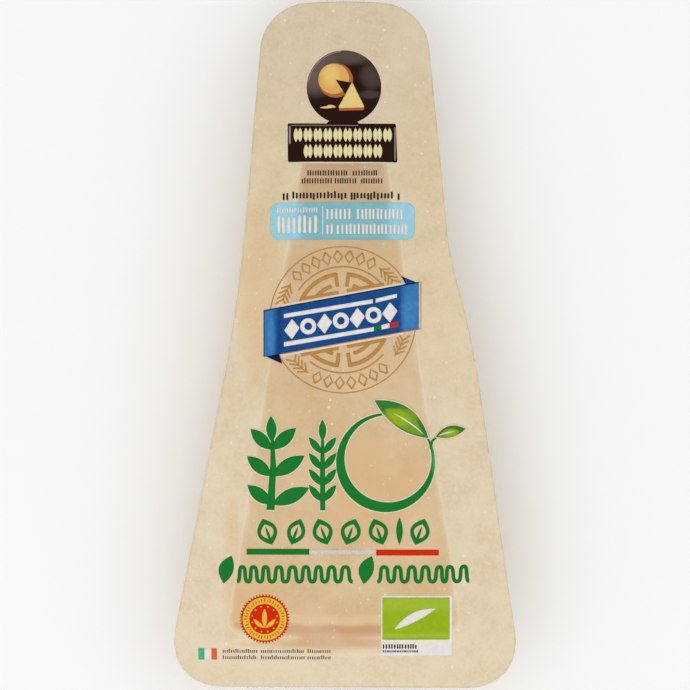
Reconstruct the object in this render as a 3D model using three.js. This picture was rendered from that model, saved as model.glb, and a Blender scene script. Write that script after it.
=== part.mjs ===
// A vacuum-packed wedge of hard cheese. A deep-drawn pocket holds the wedge, and a printed lid web is
// sealed to the pocket's thin flange all round. The pack lies on the flat bottom of its pocket, lid up.
// Frame: mm, +Z up, +Y towards the narrow end of the wedge, +X to the right of someone reading the lid.
// The origin is on the ground under the middle of the pack.
import * as THREE from "three";

// The wedge of cheese. Its sides are radial cuts and its rind is an arc of the whole wheel.
const WEDGE_TIP_Y = 56.3;
const WEDGE_RIND_Y = -85.4;
const WEDGE_TIP_HALF_WIDTH = 11.2;
const WEDGE_RIND_HALF_WIDTH = 33.8;
const WEDGE_HEIGHT = 28;
const WEDGE_CORNER = 5; // how far a rounded corner reaches along each side
const TIP_BULGE = 1.2; // how far the middle of the narrow end stands out
const RIND_BULGE = 2.8; // the rise of the rind's arc over its chord

// The edge of the pack as corners on the two halves, tip to rind: [distance from the middle, y, reach].
// Reach is how far the rounding of a corner runs along each side of it.
const PACK_TOP_Y = 100;
const PACK_BOTTOM_Y = -100;
const RIGHT_EDGE = [
  [23.5, 98.4, 13],
  [30.4, 26.6, 7],
  [37.4, 0.5, 14],
  [51.9, PACK_BOTTOM_Y, 17.5],
];
const LEFT_EDGE = [
  [23.5, 98.4, 13],
  [29.2, 28.6, 14],
  [32.8, 1.2, 14],
  [52.3, PACK_BOTTOM_Y + 0.6, 18],
];

// Heights of the webs, from the ground up.
const FILM = 0.3; // either web over the cheese
const LID_TOP = WEDGE_HEIGHT + 2 * FILM;
const LID_CROWN = 0.25; // the lid's rise over the middle of the cheese
const SHOULDER = 2.4; // the strip of lid that bends down at the edge of the cheese
const SHOULDER_FALL = 0.55; // how far it comes down there
const FLANGE_TOP = LID_TOP - SHOULDER_FALL; // the top of the flange beside the cheese
const FLANGE_THICKNESS = 0.8;
const FLANGE_FALL = 3.4; // how much lower the flange ends than it starts beside the cheese
const FALL_REACH = 7; // most of that fall is within this distance of the cheese
const TIP_DROOP = 1.8; // how much further the long flange beyond the tip sags
const WAVE_HEIGHT = 0.45; // the slow ripple of the rim, at its full height
const WAVE_REACH = 15; // this far from the cheese
const WAVE_LENGTH = 44;
const WAVE_TURN = 0.03; // radians of ripple for each mm across, so the two sides differ

// The pocket below the flange.
const POCKET_GAP = 0.4; // the web outside the cheese
const POCKET_MOUTH_RADIUS = 3;
const POCKET_DRAFT = 0.9; // how far the wall leans in over its height
const POCKET_BASE_RADIUS = 2.6;

// Each half of a loop has this many steps, so every loop matches the others point by point.
const HALF_STEPS = 60;

// A half loop runs from the middle of the narrow end, round the corners, to the middle of the wide end.
// Both ends bulge: they cross the middle line square to it.
function halfLoop(side, startY, corners, endY) {
  const path = new THREE.Path();
  const points = [[0, startY, 0], ...corners, [0, endY, 0]].map(([x, y, reach]) => ({
    at: new THREE.Vector2(side * x, y),
    reach,
  }));
  const last = points.length - 1;
  path.moveTo(0, startY);
  let after;
  for (let i = 1; i < last; i++) {
    const { at, reach } = points[i];
    const before = points[i - 1].at.clone().sub(at).setLength(reach).add(at);
    after = points[i + 1].at.clone().sub(at).setLength(reach).add(at);
    if (i === 1) path.quadraticCurveTo(before.x / 2, startY, before.x, before.y);
    else path.lineTo(before.x, before.y);
    path.quadraticCurveTo(at.x, at.y, after.x, after.y);
  }
  path.quadraticCurveTo(after.x / 2, endY, 0, endY);
  return path.getSpacedPoints(HALF_STEPS);
}

// A whole loop goes down the right half and back up the left one, so it is clockwise from above.
function loop(startY, right, left, endY) {
  const down = halfLoop(1, startY, right, endY);
  const up = halfLoop(-1, startY, left, endY);
  return [...down, ...up.slice(1, -1).reverse()];
}

// The plan of the wedge, grown outwards by a distance, or shrunk if it is negative.
function wedgeLoop(grow) {
  const reach = WEDGE_CORNER + grow / 2;
  const half = [
    [WEDGE_TIP_HALF_WIDTH + grow, WEDGE_TIP_Y + grow, reach],
    [WEDGE_RIND_HALF_WIDTH + grow, WEDGE_RIND_Y + RIND_BULGE - grow, reach],
  ];
  const topY = WEDGE_TIP_Y + TIP_BULGE + grow;
  return loop(topY, half, half, WEDGE_RIND_Y - grow);
}

const packLoop = loop(PACK_TOP_Y, RIGHT_EDGE, LEFT_EDGE, PACK_BOTTOM_Y);

function smoothStep(t) {
  const s = THREE.MathUtils.clamp(t, 0, 1);
  return s * s * (3 - 2 * s);
}

// How far the top of the flange has come down at a distance from the cheese.
function fallAt(distance) {
  return FLANGE_FALL * (1 - Math.exp(-distance / FALL_REACH));
}

// The top of the flange at a point and its distance from the cheese.
function flangeHeight(point, distance) {
  const beyondTip = smoothStep((point.y - WEDGE_TIP_Y) / (PACK_TOP_Y - WEDGE_TIP_Y));
  const ripple = Math.sin((2 * Math.PI * point.y) / WAVE_LENGTH + WAVE_TURN * point.x);
  const wave = WAVE_HEIGHT * ripple * smoothStep(distance / WAVE_REACH);
  return FLANGE_TOP - fallAt(distance) - TIP_DROOP * beyondTip + wave;
}

const wedgeEdge = wedgeLoop(POCKET_GAP);

// A ring in the flange, a share of the way from an inner loop to the rim, some depth below its top.
function flangeRing(inner, share, depth) {
  return inner.map((p, i) => {
    const at = p.clone().lerp(packLoop[i], share);
    return new THREE.Vector3(at.x, at.y, flangeHeight(at, at.distanceTo(wedgeEdge[i])) - depth);
  });
}

// A ring at one height.
function levelRing(points, z) {
  return points.map((p) => new THREE.Vector3(p.x, p.y, z));
}

// A ring on the lid, inside the edge of the cheese, drawn in towards the wedge's middle line.
function crownRing(share) {
  const inset = 12;
  return wedgeLoop(-SHOULDER).map((p) => {
    const y = THREE.MathUtils.clamp(p.y, WEDGE_RIND_Y + inset, WEDGE_TIP_Y - inset);
    const at = p.clone().lerp(new THREE.Vector2(0, y), share);
    return new THREE.Vector3(at.x, at.y, LID_TOP + LID_CROWN * smoothStep(2 * share));
  });
}

// Level rings that turn through a quarter circle, each a wedge plan at a height.
function quarterRings(growAt, heightAt) {
  return [0.25, 0.5, 0.75, 1].map((part) => {
    const angle = (part * Math.PI) / 2;
    return levelRing(wedgeLoop(growAt(angle)), heightAt(angle));
  });
}

function lidRings() {
  const shoulder = [0.35, 0.7].map((share) => {
    const grow = (SHOULDER + POCKET_GAP) * share - SHOULDER;
    return levelRing(wedgeLoop(grow), LID_TOP - SHOULDER_FALL * share ** 2);
  });
  const flange = [0, 0.08, 0.2, 0.4, 0.6, 0.8, 1].map((share) => flangeRing(wedgeEdge, share, 0));
  return [crownRing(0.5), crownRing(0.2), crownRing(0), ...shoulder, ...flange];
}

function pocketRings() {
  const mouth = wedgeLoop(POCKET_GAP + POCKET_MOUTH_RADIUS);
  const mouthZ = FLANGE_TOP - fallAt(POCKET_MOUTH_RADIUS) - FLANGE_THICKNESS;
  const wallTopZ = mouthZ - POCKET_MOUTH_RADIUS;
  const underside = [1, 0.7, 0.35, 0].map((share) => flangeRing(mouth, share, FLANGE_THICKNESS));
  const turn = quarterRings(
    (angle) => POCKET_GAP + POCKET_MOUTH_RADIUS * (1 - Math.sin(angle)),
    (angle) => mouthZ - POCKET_MOUTH_RADIUS * (1 - Math.cos(angle)),
  );
  const halfWay = levelRing(
    wedgeLoop(POCKET_GAP - POCKET_DRAFT / 2),
    (wallTopZ + POCKET_BASE_RADIUS) / 2,
  );
  const foot = levelRing(wedgeLoop(POCKET_GAP - POCKET_DRAFT), POCKET_BASE_RADIUS);
  const base = quarterRings(
    (angle) => POCKET_GAP - POCKET_DRAFT - POCKET_BASE_RADIUS * (1 - Math.cos(angle)),
    (angle) => POCKET_BASE_RADIUS * (1 - Math.sin(angle)),
  );
  return [...underside, ...turn, halfWay, foot, ...base];
}

// One closed surface through the rings, top to bottom, with both end rings capped.
function loft(rings) {
  const count = 2 * HALF_STEPS;
  const positions = rings.flat().flatMap((p) => [p.x, p.y, p.z]);
  const faces = [];
  for (let r = 0; r < rings.length - 1; r++) {
    for (let i = 0; i < count; i++) {
      const a = r * count + i;
      const b = r * count + ((i + 1) % count);
      faces.push(a, b, a + count, b, b + count, a + count);
    }
  }
  faces.push(...ladderCap(0, count, false), ...ladderCap((rings.length - 1) * count, count, true));
  const geometry = new THREE.BufferGeometry();
  geometry.setAttribute("position", new THREE.Float32BufferAttribute(positions, 3));
  geometry.setIndex(faces);
  geometry.computeVertexNormals();
  return geometry;
}

// A flat cap whose rungs join the right half of a ring to the left half.
function ladderCap(first, count, down) {
  const faces = [];
  for (let i = 0; i < HALF_STEPS; i++) {
    const right = first + i;
    const rightNext = right + 1;
    const left = first + ((count - i) % count);
    const leftNext = first + count - i - 1;
    if (leftNext !== rightNext) faces.push(left, leftNext, rightNext);
    if (left !== right) faces.push(left, rightNext, right);
  }
  return down ? faces.reverse() : faces;
}

const packMaterial = new THREE.MeshStandardMaterial({
  color: 0xdccaa8,
  roughness: 0.4,
  metalness: 0,
});

const pack = new THREE.Mesh(loft([...lidRings(), ...pocketRings()]), packMaterial);
pack.name = "pack";

const vacuumPack = new THREE.Group();
vacuumPack.add(pack);

export default vacuumPack;
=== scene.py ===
"""A vacuum-packed wedge of parmesan, lying on its pocket with the printed lid up.

The pack is a wedge of cheese in a clear formed web, under a parchment-look lid web that is sealed to it
all round. The print on the lid is a set of thin ink layers. Shapes are drawn in mm and made into metres
when they are finished.
"""

import math
import random

import bmesh
import bpy
from mathutils import Matrix, Vector, noise
from mathutils.bvhtree import BVHTree


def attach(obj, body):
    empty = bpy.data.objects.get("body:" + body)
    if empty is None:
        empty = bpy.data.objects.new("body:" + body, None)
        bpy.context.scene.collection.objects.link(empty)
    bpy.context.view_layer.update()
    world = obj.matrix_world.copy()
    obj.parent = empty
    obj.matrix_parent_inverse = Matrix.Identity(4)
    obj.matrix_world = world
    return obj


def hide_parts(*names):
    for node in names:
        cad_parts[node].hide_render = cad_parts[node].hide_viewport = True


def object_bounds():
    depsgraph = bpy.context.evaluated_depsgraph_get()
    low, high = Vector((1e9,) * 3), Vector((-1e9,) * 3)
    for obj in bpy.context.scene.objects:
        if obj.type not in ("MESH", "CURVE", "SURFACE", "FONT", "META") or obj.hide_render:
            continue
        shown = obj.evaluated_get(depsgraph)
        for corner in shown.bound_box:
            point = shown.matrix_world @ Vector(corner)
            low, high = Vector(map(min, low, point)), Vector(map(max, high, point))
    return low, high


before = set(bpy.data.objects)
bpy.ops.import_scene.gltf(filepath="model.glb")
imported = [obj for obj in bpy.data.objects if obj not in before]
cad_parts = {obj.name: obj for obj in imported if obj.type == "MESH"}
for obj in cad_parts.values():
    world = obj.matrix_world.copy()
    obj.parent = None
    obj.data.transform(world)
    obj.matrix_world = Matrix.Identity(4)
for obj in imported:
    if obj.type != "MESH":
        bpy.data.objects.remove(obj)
CAD_LOW, CAD_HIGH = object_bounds()

bl_info = {
    "name": "Packed parmesan wedge",
    "version": (1, 0, 0),
    "blender": (4, 5, 0),
    "location": "3D View > Sidebar > Parmesan",
    "description": "Builds a vacuum-packed wedge of parmesan around its solid model",
    "category": "Object",
}

MM = 0.001
BODY = "root"
PACK_NODE = "pack"
LID = "lid_film"
LAYER = 0.05  # mm between one ink layer and the next
LIFT = 0.004  # mm between shapes of one ink that cross
INK_DEPTH = 0.04  # mm of ink in a layer
GRID = 1.0  # mm between the cuts that let the lid and its print bend
INK_SHINE = 0.06  # how strongly an ink mirrors the light, where 0.5 is bare plastic
INK_WEAR = 0.10  # how much lighter an ink is where it is thin


# ---------------------------------------------------------------------------------------------------------
# Sizes and colours


def paint(red, green, blue):
    """A colour given as 0 to 255 on a colour chart, as the linear values that shaders use."""

    def linear(value):
        share = value / 255
        return share / 12.92 if share <= 0.04045 else ((share + 0.055) / 1.055) ** 2.4

    return (linear(red), linear(green), linear(blue))


def length_property(name, description, millimetres):
    return bpy.props.FloatProperty(
        name=name, description=description, default=millimetres * MM, min=0, unit="LENGTH"
    )


def colour_property(name, description, colour):
    return bpy.props.FloatVectorProperty(
        name=name, description=description, default=colour, size=3, min=0, max=1, subtype="COLOR"
    )


class PackSizes(bpy.types.PropertyGroup):
    """The sizes of the cheese and of the two webs."""

    wedge_height: length_property("Wedge height", "Thickness of the wedge between its flat cuts", 28)
    wedge_length: length_property("Wedge length", "From the rind to the narrow end", 141.7)
    tip_width: length_property("Tip width", "Width of the wedge at its narrow end", 22.4)
    rind_width: length_property("Rind width", "Width of the wedge across the rind", 67.6)
    film: length_property("Film", "Thickness of the lid web", 0.25)
    pocket_film: length_property("Pocket film", "Thickness of the clear formed web", 0.16)
    relief: length_property("Relief", "How far the grain of the cheese stands out", 0.6)


class PackColours(bpy.types.PropertyGroup):
    """The colours of the cheese, the film and the inks."""

    parchment: colour_property("Parchment", "The lid where nothing lies under it", paint(225, 208, 177))
    contact: colour_property("Contact", "The lid where it clings to the cheese", paint(212, 181, 138))
    strip: colour_property("Strip", "The paste beside the rind", paint(234, 198, 152))
    butter: colour_property("Stained lid", "Warm stains in the lid by the cheese", paint(216, 177, 124))
    rind_shadow: colour_property("Rind band", "The rind as it shows through the lid", paint(201, 154, 111))
    # Pale flecks, and also the colour of the painted highlight along the edge of the cheese.
    speck_and_highlight: colour_property("Speck", "Pale flecks in the parchment", paint(246, 238, 216))
    paste: colour_property("Paste", "The cut paste of the cheese", paint(246, 224, 163))
    paste_dark: colour_property("Dark paste", "Between the grains of the paste", paint(226, 184, 108))
    crystal: colour_property("Crystal", "White crystals in the paste", paint(252, 243, 218))
    rind: colour_property("Rind", "The outside of the rind", paint(206, 158, 88))
    rind_pale: colour_property("Pale rind", "The worn parts of the rind", paint(230, 190, 126))
    dark_ink: colour_property("Dark ink", "The badge", paint(38, 16, 8))
    halo_ink: colour_property("Halo ink", "The thin light line round the larger marks", paint(229, 212, 185))
    shine_ink: colour_property("Shine ink", "The shine drawn on the badge", paint(150, 132, 122))
    cheese_gold: colour_property("Cheese gold", "The wheel on the badge", paint(220, 170, 90))
    cheese_brown: colour_property("Cheese brown", "The side of that wheel", paint(178, 98, 58))
    cheese_pale: colour_property("Pale cheese", "The slice on the badge", paint(232, 202, 128))
    text_ink: colour_property("Text ink", "The rows of small marks", paint(44, 31, 25))
    cream_ink: colour_property("Cream ink", "The grains on the badge", paint(226, 220, 166))
    banner_ink: colour_property("Banner ink", "The pale blue banner", paint(168, 224, 240))
    banner_row: colour_property("Banner rows", "The strokes on the banner", paint(238, 226, 214))
    gold_ink: colour_property("Gold ink", "The lines of the roundel", paint(188, 136, 72))
    deep_blue: colour_property("Deep blue", "The middle of the ribbon", paint(16, 72, 134))
    bright_blue: colour_property("Bright blue", "The ends of the ribbon", paint(48, 116, 176))
    light_blue: colour_property("Light blue", "The shine on the ribbon's ends", paint(76, 142, 198))
    navy: colour_property("Navy", "The folds behind the ribbon", paint(6, 20, 58))
    white_ink: colour_property("White ink", "Stripes and frames", paint(230, 224, 218))
    green_ink: colour_property("Green ink", "The large green marks", paint(20, 120, 44))
    mint_ink: colour_property("Mint ink", "Paler green marks", paint(72, 176, 120))
    leaf_edge: colour_property("Leaf edge ink", "The edges of the leaves", paint(48, 124, 48))
    leaf_ink: colour_property("Leaf ink", "The bright side of the leaves", paint(146, 176, 26))
    lime_ink: colour_property("Lime ink", "The green panel", paint(148, 178, 24))
    pale_lime: colour_property("Pale lime ink", "Light bands on the panel", paint(176, 198, 70))
    red_ink: colour_property("Red ink", "The seal and the red bar", paint(212, 36, 2))
    coral_ink: colour_property("Coral ink", "The flag's last stripe", paint(236, 96, 58))
    note_ink: colour_property("Note ink", "The finest rows", paint(74, 58, 46))
    yellow_ink: colour_property("Yellow ink", "The ring of the seal", paint(230, 186, 56))


# ---------------------------------------------------------------------------------------------------------
# The form of the pack in plan and in height, in mm

WEDGE_TIP_Y = 56.3
TIP_BULGE = 1.2
RIND_BULGE = 2.8
WEDGE_CORNER = 5.0
FILM_STACK = 0.6  # both webs, over and under the cheese
LID_CROWN = 0.25
SHOULDER = 2.4
SHOULDER_FALL = 0.55
FLANGE_FALL = 3.4
FALL_REACH = 7.0
TIP_DROOP = 1.8
WAVE_HEIGHT = 0.45
WAVE_REACH = 15.0
WAVE_LENGTH = 44.0
WAVE_TURN = 0.03
POCKET_GAP = 0.4
POCKET_MOUTH = 3.4
POCKET_DRAFT = 0.9
CHEESE_GAP = 0.35  # between the cheese and the pocket
CHEESE_EDGE = 1.6  # the rounding of the cheese's upper and lower edges
RIND_DEPTH = 7.6  # how far from its outside the rind still darkens the lid
RIND_FADE = 6.0  # over which it gets to its full tone

# Uneven heights in the lid: [height, size across, seed].
CHEESE_RIPPLES = ((0.16, 7.0, 3.1), (0.07, 2.6, 8.7))  # the cheese's grain under the lid
FLANGE_SWELL = (0.25, 13.0, 5.0)
FLANGE_CREASE = (0.10, 4.5, 1.7)

# Painted shade: how much darker the lid is painted from the rind end (0) to the narrow end (1) of the pack,
# as less light falls towards the narrow end, with a slight shift in tone. GROUND is the lid where nothing
# lies under it, TOUCHED is the lid over the cheese.
GROUND_PAINTED_SHADE = (
    (0.0, (1.0, 1.0, 1.0)),
    (0.35, (0.98, 0.98, 0.97)),
    (0.55, (0.96, 0.94, 0.90)),
    (0.72, (0.93, 0.90, 0.83)),
    (0.97, (0.89, 0.88, 0.88)),
)
TOUCHED_PAINTED_SHADE = (
    (0.10, (1.0, 1.0, 1.0)),
    (0.40, (1.0, 1.0, 1.0)),
    (0.62, (0.94, 0.93, 0.92)),
    (0.78, (0.77, 0.74, 0.73)),
)

# The edge of the pack: [x, y, how far the rounding of the corner runs along each side].
PACK_TOP_Y = CAD_HIGH.y / MM
PACK_BOTTOM_Y = CAD_LOW.y / MM
PACK_CORNERS = [
    (0.0, PACK_TOP_Y, 9.0),
    (23.5, 98.4, 12.0),
    (30.4, 26.6, 7.0),
    (37.4, 0.5, 14.0),
    (51.9, PACK_BOTTOM_Y, 16.0),
    (-52.3, PACK_BOTTOM_Y + 0.6, 16.5),
    (-32.8, 1.2, 14.0),
    (-29.2, 28.6, 14.0),
    (-23.5, 98.4, 12.0),
]


def clamp(value):
    return max(0.0, min(1.0, value))


def smooth_step(value):
    share = clamp(value)
    return share * share * (3 - 2 * share)


def smooth_max(a, b, width):
    """The larger of two values, blended where they are within width of each other."""
    blend = max(width - abs(a - b), 0) / width
    return max(a, b) + blend * blend * width / 4


class Wedge:
    """The cheese in plan, in mm."""

    def __init__(self, sizes):
        self.height = sizes.wedge_height / MM
        self.tip_y = WEDGE_TIP_Y
        self.rind_y = WEDGE_TIP_Y - sizes.wedge_length / MM
        self.tip_half = sizes.tip_width / MM / 2
        self.rind_half = sizes.rind_width / MM / 2
        self.slope = (self.rind_half - self.tip_half) / (self.tip_y - self.rind_y)

    def half_width(self, y):
        return self.tip_half + self.slope * (self.tip_y - y)

    def outside(self, x, y):
        """How far a point is outside the edge of the cheese. It is negative over the cheese."""
        side = (abs(x) - self.half_width(y)) / math.hypot(1, self.slope)
        tip = y - self.tip_y - TIP_BULGE * max(0, 1 - (x / self.tip_half) ** 2)
        rind = self.rind_y + RIND_BULGE * min(1, (x / self.rind_half) ** 2) - y
        return smooth_max(smooth_max(side, tip, WEDGE_CORNER), rind, WEDGE_CORNER)


def ripple(x, y, height, size, seed):
    """A smooth random height, up or down, that changes over a distance of about size."""
    return height * noise.noise(Vector((x / size + seed, y / size - seed, seed)))


def lid_height(wedge, x, y):
    """The top of the lid over a point of the pack."""
    outside = wedge.outside(x, y)
    top = wedge.height + FILM_STACK
    if outside < POCKET_GAP:
        bend = clamp((outside + SHOULDER) / (SHOULDER + POCKET_GAP))
        inside = smooth_step(-outside / 5)
        grain = sum(ripple(x, y, *values) for values in CHEESE_RIPPLES)
        crown = LID_CROWN * smooth_step(-outside / 12)
        return top + crown - SHOULDER_FALL * bend * bend + grain * inside
    away = outside - POCKET_GAP
    fall = FLANGE_FALL * (1 - math.exp(-away / FALL_REACH))
    droop = TIP_DROOP * smooth_step((y - wedge.tip_y) / (PACK_TOP_Y - wedge.tip_y))
    wave = WAVE_HEIGHT * math.sin(2 * math.pi * y / WAVE_LENGTH + WAVE_TURN * x)
    wave = (wave + ripple(x, y, *FLANGE_SWELL)) * smooth_step(away / WAVE_REACH)
    crease = ripple(x, y, *FLANGE_CREASE) * smooth_step(away / 4)
    return top - SHOULDER_FALL - fall - droop + wave + crease


# ---------------------------------------------------------------------------------------------------------
# Making pieces


def finish_piece(name, bm, material):
    """Turns a bmesh in mm into a piece of the pack in metres, and puts it on its body."""
    bmesh.ops.recalc_face_normals(bm, faces=bm.faces)
    bmesh.ops.scale(bm, vec=(MM, MM, MM), verts=bm.verts)
    mesh = bpy.data.meshes.new(name)
    bm.to_mesh(mesh)
    bm.free()
    mesh.materials.append(material)
    mesh.polygons.foreach_set("use_smooth", [True] * len(mesh.polygons))
    piece = bpy.data.objects.new(name, mesh)
    bpy.context.scene.collection.objects.link(piece)
    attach(piece, BODY)
    return piece


def dice(bm, step, axes=(1, 0)):
    """Cuts a mesh along a grid of planes, so that it can bend or be roughened."""
    for axis in axes:
        along = [v.co[axis] for v in bm.verts]
        first = math.floor(min(along) / step) + 1
        last = math.ceil(max(along) / step) - 1
        normal = [0.0, 0.0, 0.0]
        normal[axis] = 1.0
        for i in range(first, last + 1):
            place = [0.0, 0.0, 0.0]
            place[axis] = i * step
            everything = bm.verts[:] + bm.edges[:] + bm.faces[:]
            bmesh.ops.bisect_plane(bm, geom=everything, dist=1e-4, plane_co=place, plane_no=normal)


def thicken(bm, depth):
    """Gives a sheet a thickness, downwards."""
    made = bmesh.ops.extrude_face_region(bm, geom=bm.faces[:])["geom"]
    below = [v for v in made if isinstance(v, bmesh.types.BMVert)]
    bmesh.ops.translate(bm, vec=(0, 0, -depth), verts=below)


def round_corners(bm, corners, segments=8):
    """Rounds each corner of a flat shape by its own reach."""
    for vertex, reach in corners:
        if reach > 0:
            bmesh.ops.bevel(
                bm,
                geom=[vertex],
                affect="VERTICES",
                offset=reach,
                segments=segments,
                profile=0.5,
                material=-1,
            )


class Sketch:
    """Flat shapes in mm, drawn on the ground and laid on the lid when they are done.

    Shapes of one sketch that cross are drawn at different lifts, so that no two faces share a plane.
    """

    def __init__(self):
        self.bm = bmesh.new()
        self.lift = 0.0

    def polygon(self, corners, segments=6):
        """A shape with a reach for each of its corners: [(x, y, reach), ...]."""
        vertices = [self.bm.verts.new((x, y, self.lift)) for x, y, _ in corners]
        self.bm.faces.new(vertices)
        round_corners(self.bm, list(zip(vertices, [c[2] for c in corners])), segments)

    def bar(self, left, bottom, right, top, reach=0.0, segments=4):
        corners = [(left, bottom), (right, bottom), (right, top), (left, top)]
        self.polygon([(x, y, reach) for x, y in corners], segments)

    def circle(self, x, y, radius, segments, filled=False):
        place = Matrix.Translation((x, y, self.lift))
        made = bmesh.ops.create_circle(
            self.bm, cap_ends=filled, radius=radius, segments=segments, matrix=place
        )
        return made["verts"]

    def disc(self, x, y, radius, segments=64):
        return self.circle(x, y, radius, segments, filled=True)

    def bridge(self, outside, inside):
        """Fills the space between two loops of vertices."""
        edges = {edge for vertex in [*outside, *inside] for edge in vertex.link_edges}
        bmesh.ops.bridge_loops(self.bm, edges=list(edges))

    def ring(self, x, y, outer, inner, shift=(0, 0), segments=128):
        """A ring. Its hole can be off its middle by a shift."""
        outside = self.circle(x, y, outer, segments)
        self.bridge(outside, self.circle(x + shift[0], y + shift[1], inner, segments))

    def lens(self, vertices, start, length, width, bend):
        """Makes a unit circle into a lens with pointed ends, which runs along x from start."""
        for vertex in vertices:
            along, across = vertex.co.x, vertex.co.y
            vertex.co.x = start + length / 2 * (1 + along)
            vertex.co.y = across * abs(across) * width / 2 + bend * (1 - along * along)

    def leaf(self, x, y, length, width, degrees, grow=0.0, bend=0.0, outline=0.0):
        """A leaf from a point in a direction, or only its outline if that is given a width."""
        vertices = self.circle(0, 0, 1, 36, filled=not outline)
        self.lens(vertices, -grow, length + 2 * grow, width + 2 * grow, bend)
        if outline:
            inside = self.circle(0, 0, 1, 36)
            self.lens(inside, 1.6 * outline, length - 3.2 * outline, width - 2 * outline, bend)
            self.bridge(vertices, inside)
            vertices = [*vertices, *inside]
        for vertex in vertices:
            vertex.co.z = self.lift
        place = Matrix.Translation((x, y, 0)) @ Matrix.Rotation(math.radians(degrees), 4, "Z")
        bmesh.ops.transform(self.bm, matrix=place, verts=vertices)

    def wave(self, left, right, bottom, top, width, length, seed):
        """A stroke that swings between two heights in swings of uneven length, like quick handwriting."""
        chance = random.Random(seed)
        spans = [chance.uniform(0.72, 1.28) for _ in range(2 * round((right - left) / length))]
        scale = (right - left) / sum(spans)
        middle, swing = (bottom + top) / 2, (top - bottom - width) / 2
        points = [(left, bottom + width / 2)]
        x = left
        for i, span in enumerate(spans):
            for step in range(1, 11):
                turn = math.pi * (i + step / 10)
                flat = math.cos(turn) * (1.25 - 0.25 * math.cos(turn) ** 2)
                sway = 0.12 * span * scale * math.sin(2 * turn)
                points.append((x + span * scale * step / 10 + sway, middle - swing * flat))
            x += span * scale
        self.stroke(points, [width] * len(points))

    def diamond(self, x, y, width, height, lean):
        """A diamond. lean lifts its right corner and lowers its left one."""
        half = width / 2
        corners = (
            (x - half, y - lean * half),
            (x, y - height / 2),
            (x + half, y + lean * half),
            (x, y + height / 2),
        )
        self.polygon([(*corner, 0.25) for corner in corners], 3)

    def row(self, words, bottom, top, width, pitch, rise=0.0, drop=0.0):
        """A line of small print, as upright strokes. Each word is (left, right, seed)."""
        for left, right, seed in words:
            self.word(left, right, bottom, top, width, pitch, seed, rise, drop)

    def word(self, left, right, bottom, top, width, pitch, seed, rise, drop):
        """Upright strokes of uneven height. Some rise above the row and some drop below it."""
        chance = random.Random(seed)
        x = left + width / 2
        while x <= right - width / 2 + 1e-6:
            kind = chance.random()
            high = top + (rise if kind < 0.22 else 0) - (top - bottom) * 0.12 * chance.random()
            low = bottom - (drop if kind > 0.86 else 0)
            self.bar(x - width / 2, low, x + width / 2, high, width * 0.3, 2)
            x += pitch * (0.86 + 0.28 * chance.random())

    def stroke(self, points, widths):
        """A line through points, with a width at each."""
        points = [Vector(p) for p in points]
        pair = None
        for i, point in enumerate(points):
            before, after = points[max(i - 1, 0)], points[min(i + 1, len(points) - 1)]
            along = (after - before).normalized()
            side = Vector((-along.y, along.x)) * widths[i] / 2
            places = [(*(point + side), self.lift), (*(point - side), self.lift)]
            if pair is None:
                pair = [self.bm.verts.new(place) for place in places]
                edge = self.bm.edges.new(pair)
                continue
            made = bmesh.ops.extrude_edge_only(self.bm, edges=[edge])["geom"]
            fresh = [v for v in made if isinstance(v, bmesh.types.BMVert)]
            fresh.sort(key=lambda v: (v.co - pair[0].co).length)
            for vertex, place in zip(fresh, places):
                vertex.co = place
            pair = fresh
            edge = self.bm.edges.get(pair)

    def arc(self, x, y, radius, start, end, width, steps=24):
        """Part of a ring, between two angles in degrees."""
        angles = [math.radians(start + (end - start) * i / steps) for i in range(steps + 1)]
        points = [(x + radius * math.cos(a), y + radius * math.sin(a)) for a in angles]
        self.stroke(points, [width] * len(points))

    def lay(self, name, layer, material, slot):
        """Lays the shapes on the lid as one thin piece, a number of layers above it."""
        dice(self.bm, GRID)
        lid = lid_tree()
        for vertex in self.bm.verts:
            place = Vector((vertex.co.x, vertex.co.y, 100))
            hit = lid.ray_cast(place, Vector((0, 0, -1)))[0]
            if hit is None:
                raise RuntimeError(f"{name} is past the edge of the lid at {place.x:.1f}, {place.y:.1f}")
            vertex.co.z += hit.z + layer * LAYER
        thicken(self.bm, INK_DEPTH)
        return finish_piece(name, self.bm, material)


def lid_tree():
    """The lid's upper surface in mm, for laying ink on."""
    lid = bpy.data.objects.get(LID)
    if lid is None:
        raise RuntimeError("the lid film comes before its print")
    bm = bmesh.new()
    bm.from_mesh(lid.data)
    bmesh.ops.scale(bm, vec=(1 / MM,) * 3, verts=bm.verts)
    tree = BVHTree.FromBMesh(bm)
    bm.free()
    return tree


# ---------------------------------------------------------------------------------------------------------
# Shader maths


class Wire:
    """An output socket. Arithmetic on wires adds Math nodes."""

    def __init__(self, net, socket):
        self.net = net
        self.socket = socket

    def __add__(self, other):
        return self.net.math("ADD", self, other)

    __radd__ = __add__

    def __sub__(self, other):
        return self.net.math("SUBTRACT", self, other)

    def __rsub__(self, other):
        return self.net.math("SUBTRACT", other, self)

    def __mul__(self, other):
        return self.net.math("MULTIPLY", self, other)

    __rmul__ = __mul__

    def __truediv__(self, other):
        return self.net.math("DIVIDE", self, other)

    def __rtruediv__(self, other):
        return self.net.math("DIVIDE", other, self)


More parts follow.
